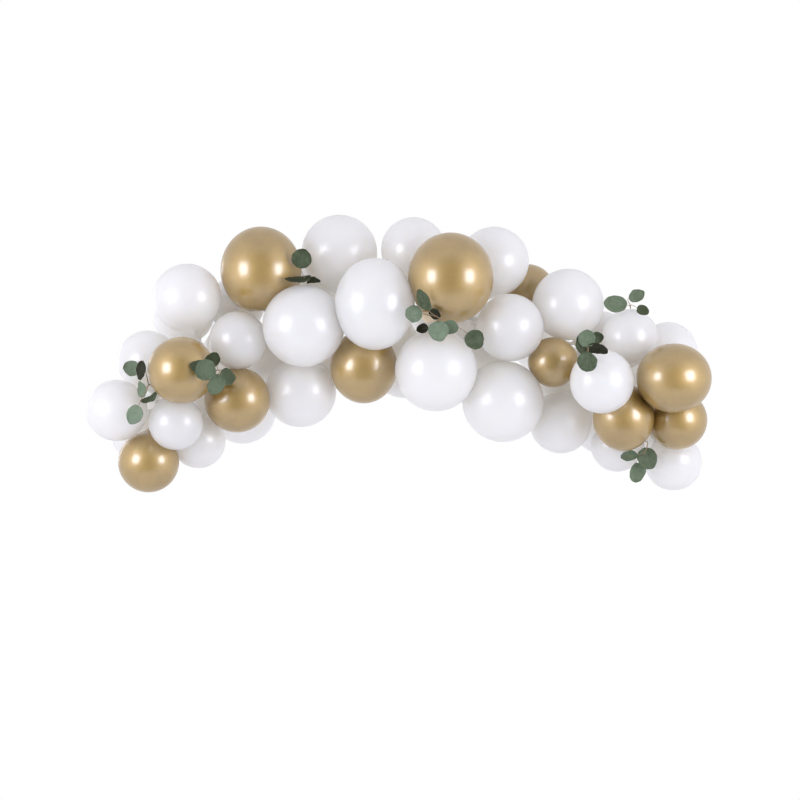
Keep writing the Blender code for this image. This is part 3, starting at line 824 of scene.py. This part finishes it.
def leaf_half_width(part):
    """Half width of a rounded leaf, as a part of its width, at a part of its length."""
    return 0.5 * math.sqrt(max(0.0, math.sin(math.pi * min(1.0, part) ** BLADE_STEMWARD)))


def build_blade(bm):
    """A leaf one metre long and wide, cupped along its rib, with its own map from stem to tip and
    edge to edge."""
    uv = bm.loops.layers.uv.new("UVMap")
    maps = {}

    def row(k, lift):
        part = 0.5 - 0.5 * math.cos(math.pi * k / BLADE_ROWS)
        half = leaf_half_width(part)
        verts = []
        for c in range(BLADE_COLUMNS + 1):
            across = 2 * c / BLADE_COLUMNS - 1
            cup = BLADE_CUP * (2 * half * across) ** 2
            wave = 1 + math.sin(WAVE_ALONG * part + WAVE_ACROSS * across)
            groove = -RIB_DEPTH * math.exp(-(across * RIB_NARROWNESS) ** 2)
            height = cup + BLADE_WAVE * wave * abs(across) + groove
            height += lift * (1 - EDGE_THINNING * abs(across))
            v = bm.verts.new((half * across, part - 0.5, height))
            maps[v] = (part, 0.5 + across / 2)
            verts.append(v)
        return verts

    thick = BLADE_THICKNESS / 2 / BLADE_TYPICAL
    faces = [[row(k, lift) for k in range(BLADE_ROWS + 1)] for lift in (thick, -thick)]
    for rows, up in zip(faces, (True, False)):
        for a, b in zip(rows, rows[1:]):
            for c in range(BLADE_COLUMNS):
                quad = (a[c], a[c + 1], b[c + 1], b[c])
                bm.faces.new(quad if up else quad[::-1])
    top, under = faces
    for a, b, c, d in zip(top, top[1:], under, under[1:]):
        bm.faces.new((a[0], b[0], d[0], c[0]))
        bm.faces.new((a[-1], c[-1], d[-1], b[-1]))
    for k in (0, BLADE_ROWS):
        for c in range(BLADE_COLUMNS):
            quad = (top[k][c], under[k][c], under[k][c + 1], top[k][c + 1])
            bm.faces.new(quad if k == 0 else quad[::-1])
    for face in bm.faces:
        for loop in face.loops:
            loop[uv].uv = maps[loop.vert]
    bmesh.ops.remove_doubles(bm, verts=bm.verts, dist=WELD_WITHIN)


def sprig_tree():
    """A sprig: a leaf set on each point with its own way, face and size, and stems swept along
    their lines."""
    tree, given = new_shape_tree("eucalyptus_sprig", {
        "Leaf": "Object", "Leaf Places": "Object", "Stems": "Object", "Stem Sides": "Int",
        "Curl": "Float", "Curl Turned Away": "Float", "Crumple": "Float", "Crumple Size": "Float",
        "Seed": "Float", "Leaf Skin": "Material", "Bark": "Material"})
    node = partial(add_node, tree)
    leaf, places, stems = (
        node("GeometryNodeObjectInfo", {"Object": given[part]}).outputs["Geometry"]
        for part in ("Leaf", "Leaf Places", "Stems"))
    tip_way, face_way, size, map_place = (
        node("GeometryNodeInputNamedAttribute", {"Name": name}, data_type="FLOAT_VECTOR")
        for name in ("tip_way", "face_way", "leaf_size", "UVMap"))
    turn = node("FunctionNodeAxesToRotation", {"Primary Axis": tip_way, "Secondary Axis": face_way},
                primary_axis="Y", secondary_axis="Z")
    leaves = node("GeometryNodeInstanceOnPoints", {
        "Points": places, "Instance": leaf, "Rotation": turn, "Scale": size})
    leaves = node("GeometryNodeRealizeInstances", {0: leaves})
    # a leaf bends forward from its middle to both ends, the more the less it faces the front
    to_front = node("ShaderNodeVectorMath", {0: face_way, 1: FRONT}, operation="DOT_PRODUCT")
    away = node("ShaderNodeMath", {0: 1.0, 1: to_front.outputs["Value"]}, operation="SUBTRACT")
    curl = node("ShaderNodeMath", {
        0: away, 1: given["Curl Turned Away"], 2: given["Curl"]}, operation="MULTIPLY_ADD")
    along = node("ShaderNodeSeparateXYZ", {0: map_place})
    from_middle = node("ShaderNodeMapRange", {0: along, 3: -1.0, 4: 1.0})
    bend = node("ShaderNodeMath", {0: from_middle, 1: from_middle}, operation="MULTIPLY")
    forward = node("ShaderNodeMath", {0: bend, 1: curl}, operation="MULTIPLY")
    bent = node("ShaderNodeVectorMath", {0: face_way, "Scale": forward}, operation="SCALE")
    leaves = node("GeometryNodeSetPosition", {0: leaves, "Offset": bent})
    seeded = node("ShaderNodeCombineXYZ", {0: given["Seed"]})
    position = node("GeometryNodeInputPosition")
    where = node("ShaderNodeVectorMath", {0: position, 1: seeded}, operation="ADD")
    scale = node("ShaderNodeMath", {0: 1.0, 1: given["Crumple Size"]}, operation="DIVIDE")
    noise = node("ShaderNodeTexNoise", {"Vector": where, "Scale": scale, "Detail": 1.0})
    centred = node("ShaderNodeVectorMath", {0: noise.outputs["Color"], 1: (0.5, 0.5, 0.5)},
                   operation="SUBTRACT")
    shift = node("ShaderNodeVectorMath", {0: centred, "Scale": given["Crumple"]}, operation="SCALE")
    leaves = node("GeometryNodeSetPosition", {0: leaves, "Offset": shift})
    section = node("GeometryNodeCurvePrimitiveCircle", {
        "Resolution": given["Stem Sides"], "Radius": 1.0})
    thickness = node("GeometryNodeInputNamedAttribute", {"Name": "thickness"}, data_type="FLOAT")
    lines = node("GeometryNodeMeshToCurve", {0: stems})
    bark = node("GeometryNodeCurveToMesh", {
        "Curve": lines, "Profile Curve": section, "Scale": thickness, "Fill Caps": True})
    whole = node("GeometryNodeJoinGeometry", {0: bark})
    set_inputs(tree, whole, {0: leaves})
    finish_shape_tree(tree, whole, (given["Bark"], None), (given["Leaf Skin"], "is_leaf"))
    return tree


def set_attribute(obj, name, values):
    """Give each point of an object its number or its vector."""
    values = np.array(values, np.float32)
    kind, field = ("FLOAT_VECTOR", "vector") if values.ndim > 1 else ("FLOAT", "value")
    attribute = obj.data.attributes.new(name, kind, "POINT")
    attribute.data.foreach_set(field, values.ravel())


def stem_lines(parting, foot, blades):
    """Centre lines and radii of a sprig's stems: the foot below the leaves, then one to each
    leaf, which thins over the first half of its way."""
    rise = parting - foot
    onward = rise / np.linalg.norm(rise)
    lines = [([foot + rise * k / (FOOT_POINTS - 1) for k in range(FOOT_POINTS)],
              [FOOT_RADIUS] * FOOT_POINTS)]
    parts = [k / (STEM_POINTS - 1) for k in range(STEM_POINTS)]
    radii = [BRANCH_RADIUS + (PETIOLE_RADIUS - BRANCH_RADIUS) * min(1.0, 2 * p) for p in parts]
    for blade in blades:
        base = blade.along(0.0)
        bend = STEM_BEND * np.linalg.norm(base - parting)
        handles = (parting, parting + onward * bend, base - blade.tip_way * bend,
                   blade.along(STEM_ON_LEAF))
        lines.append(([curve_point(handles, p) for p in parts], radii))
    return lines


def make_sprigs():
    leaf_skin, bark = eucalyptus_leaf(), eucalyptus_stem()
    tree = sprig_tree()
    leaf = mesh_object("leaf", build_blade)
    sprigs = sorted(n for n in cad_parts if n.startswith("eucalyptus_sprig"))
    for number, name in enumerate(sprigs):
        corners = corners_of(name)
        blades = sorted(blades_of(corners), key=lambda b: (round(b.middle[0], 3), b.middle[2]))
        parting, foot = stem_ends(corners, blades)
        places = points_object("leaf_places", [b.middle for b in blades])
        set_attribute(places, "tip_way", [b.tip_way for b in blades])
        set_attribute(places, "face_way", [b.face for b in blades])
        set_attribute(places, "leaf_size", [(b.width, b.length, b.width) for b in blades])
        # each leaf's tone, darkened with painted shade where it lies in shade
        set_attribute(places, "leaf_tone_and_shade", LEAF_TONES_AND_SHADE[number])
        set_attribute(places, "leaf_dryness", [b.width < WITHERED_LEAF for b in blades])
        set_attribute(places, "is_leaf", [1.0] * len(blades))
        points, edges, radii = [], [], []
        for line, thick in stem_lines(parting, foot, blades):
            first = len(points)
            points += line
            radii += thick
            edges += [(first + k, first + k + 1) for k in range(len(line) - 1)]
        stems = points_object("stems", points, edges)
        set_attribute(stems, "thickness", radii)
        piece = shaped(name + "_leaves", tree, {
            "Leaf": leaf, "Leaf Places": places, "Stems": stems, "Stem Sides": STEM_SIDES,
            "Curl": CURL, "Curl Turned Away": CURL_TURNED_AWAY, "Crumple": CRUMPLE,
            "Crumple Size": CRUMPLE_SIZE, "Seed": CRUMPLE_SEED_STEP * number,
            "Leaf Skin": leaf_skin, "Bark": bark})
        piece.data.shade_smooth()
        discard(places, stems)
        stand_for(piece, name)
    discard(leaf)


# ---- studio ----

def make_floor():
    bm = bmesh.new()
    bmesh.ops.create_circle(bm, cap_ends=True, segments=FLOOR_SIDES, radius=FLOOR_RADIUS)
    mesh = bpy.data.meshes.new("floor")
    bm.to_mesh(mesh)
    bm.free()
    mesh.transform(Matrix.Translation((0, 0, FLOOR_HEIGHT)))
    floor = link_object("floor", mesh)
    material, tree, shader = new_finish("pale_floor")
    node = partial(add_node, tree)
    place = node("ShaderNodeTexCoord").outputs["Object"]
    mottle = node("ShaderNodeTexNoise", {
        "Vector": place, "Scale": per_metre(40 * CM), "Detail": 3.0})
    pale = set_stops(node("ShaderNodeValToRGB", {0: mottle}), (0.3, "#EEEEEE"), (0.7, "#F4F4F4"))
    set_inputs(tree, shader, {"Base Color": pale, "Roughness": 0.8})
    mesh.materials.append(material)


def add_softbox(name, place, size, radiance, only_in_gloss=False):
    width, height = size
    light = bpy.data.lights.new(name, "AREA")
    light.shape = "RECTANGLE"
    light.size, light.size_y = width, height
    light.energy = radiance * math.pi * width * height
    light.color = linear(LIGHT_COLOUR)[:3]
    box = link_object(name, light)
    box.location = place
    box.rotation_euler = (Vector(LIT_PLACE) - Vector(place)).to_track_quat("-Z", "Y").to_euler()
    box.visible_camera = False
    box.visible_diffuse = not only_in_gloss


def make_surroundings():
    """A white studio, seen as plain white, whose front wall is darker than the rest of it."""
    world = bpy.data.worlds.new("studio")
    bpy.context.scene.world = world
    world.use_nodes = True
    tree = world.node_tree
    tree.nodes.clear()
    node = partial(add_node, tree)
    way = node("ShaderNodeSeparateXYZ", {0: node("ShaderNodeTexCoord").outputs["Generated"]})
    ray = node("ShaderNodeLightPath")
    front, others = (
        node("ShaderNodeMapRange", {0: ray.outputs["Is Glossy Ray"], 3: plain, 4: mirrored})
        for plain, mirrored in (FRONT_WALL, OTHER_WALLS))
    fades, ends = FRONT_WALL_EDGE
    across = node("ShaderNodeMapRange", {0: way.outputs[1], 1: fades, 2: ends, 3: front, 4: others},
                  interpolation_type="SMOOTHSTEP")
    upright = node("ShaderNodeMapRange", {
        0: way.outputs[2], 1: -FADE_HEIGHT, 2: FADE_HEIGHT, 3: FLOOR_BOOST, 4: CEILING_BOOST})
    level = node("ShaderNodeMath", {0: across, 1: upright}, operation="MULTIPLY")
    lighting = node("ShaderNodeBackground", {"Color": linear(WALL_COLOUR), "Strength": level})
    seen = node("ShaderNodeBackground", {"Color": linear("#FFFFFF"), "Strength": 1.0})
    both = node("ShaderNodeMixShader", {0: ray.outputs["Is Camera Ray"], 1: lighting, 2: seen})
    node("ShaderNodeOutputWorld", {"Surface": both})


def make_studio():
    make_floor()
    for side, place in SIDE_BOX_PLACES.items():
        add_softbox(side + "_softbox", place, SIDE_BOX_SIZE, SIDE_BOX_RADIANCE)
        add_softbox(side + "_sheen", place, SIDE_BOX_SIZE, SHEEN_RADIANCE, only_in_gloss=True)
    add_softbox("rim_softbox", RIM_BOX_PLACE, RIM_BOX_SIZE, RIM_BOX_RADIANCE)
    make_surroundings()
    camera = bpy.data.cameras.new("camera")
    camera.lens = LENS
    camera.shift_x, camera.shift_y = CAMERA_SHIFT
    eye = link_object("camera", camera)
    eye.location = (0, -CAMERA_DISTANCE, CAMERA_HEIGHT)
    eye.rotation_euler = (math.pi / 2, 0, 0)
    bpy.context.scene.camera = eye
    bpy.context.scene.view_settings.view_transform = "Standard"


make_balloons()
make_strip()
make_sprigs()
make_studio()
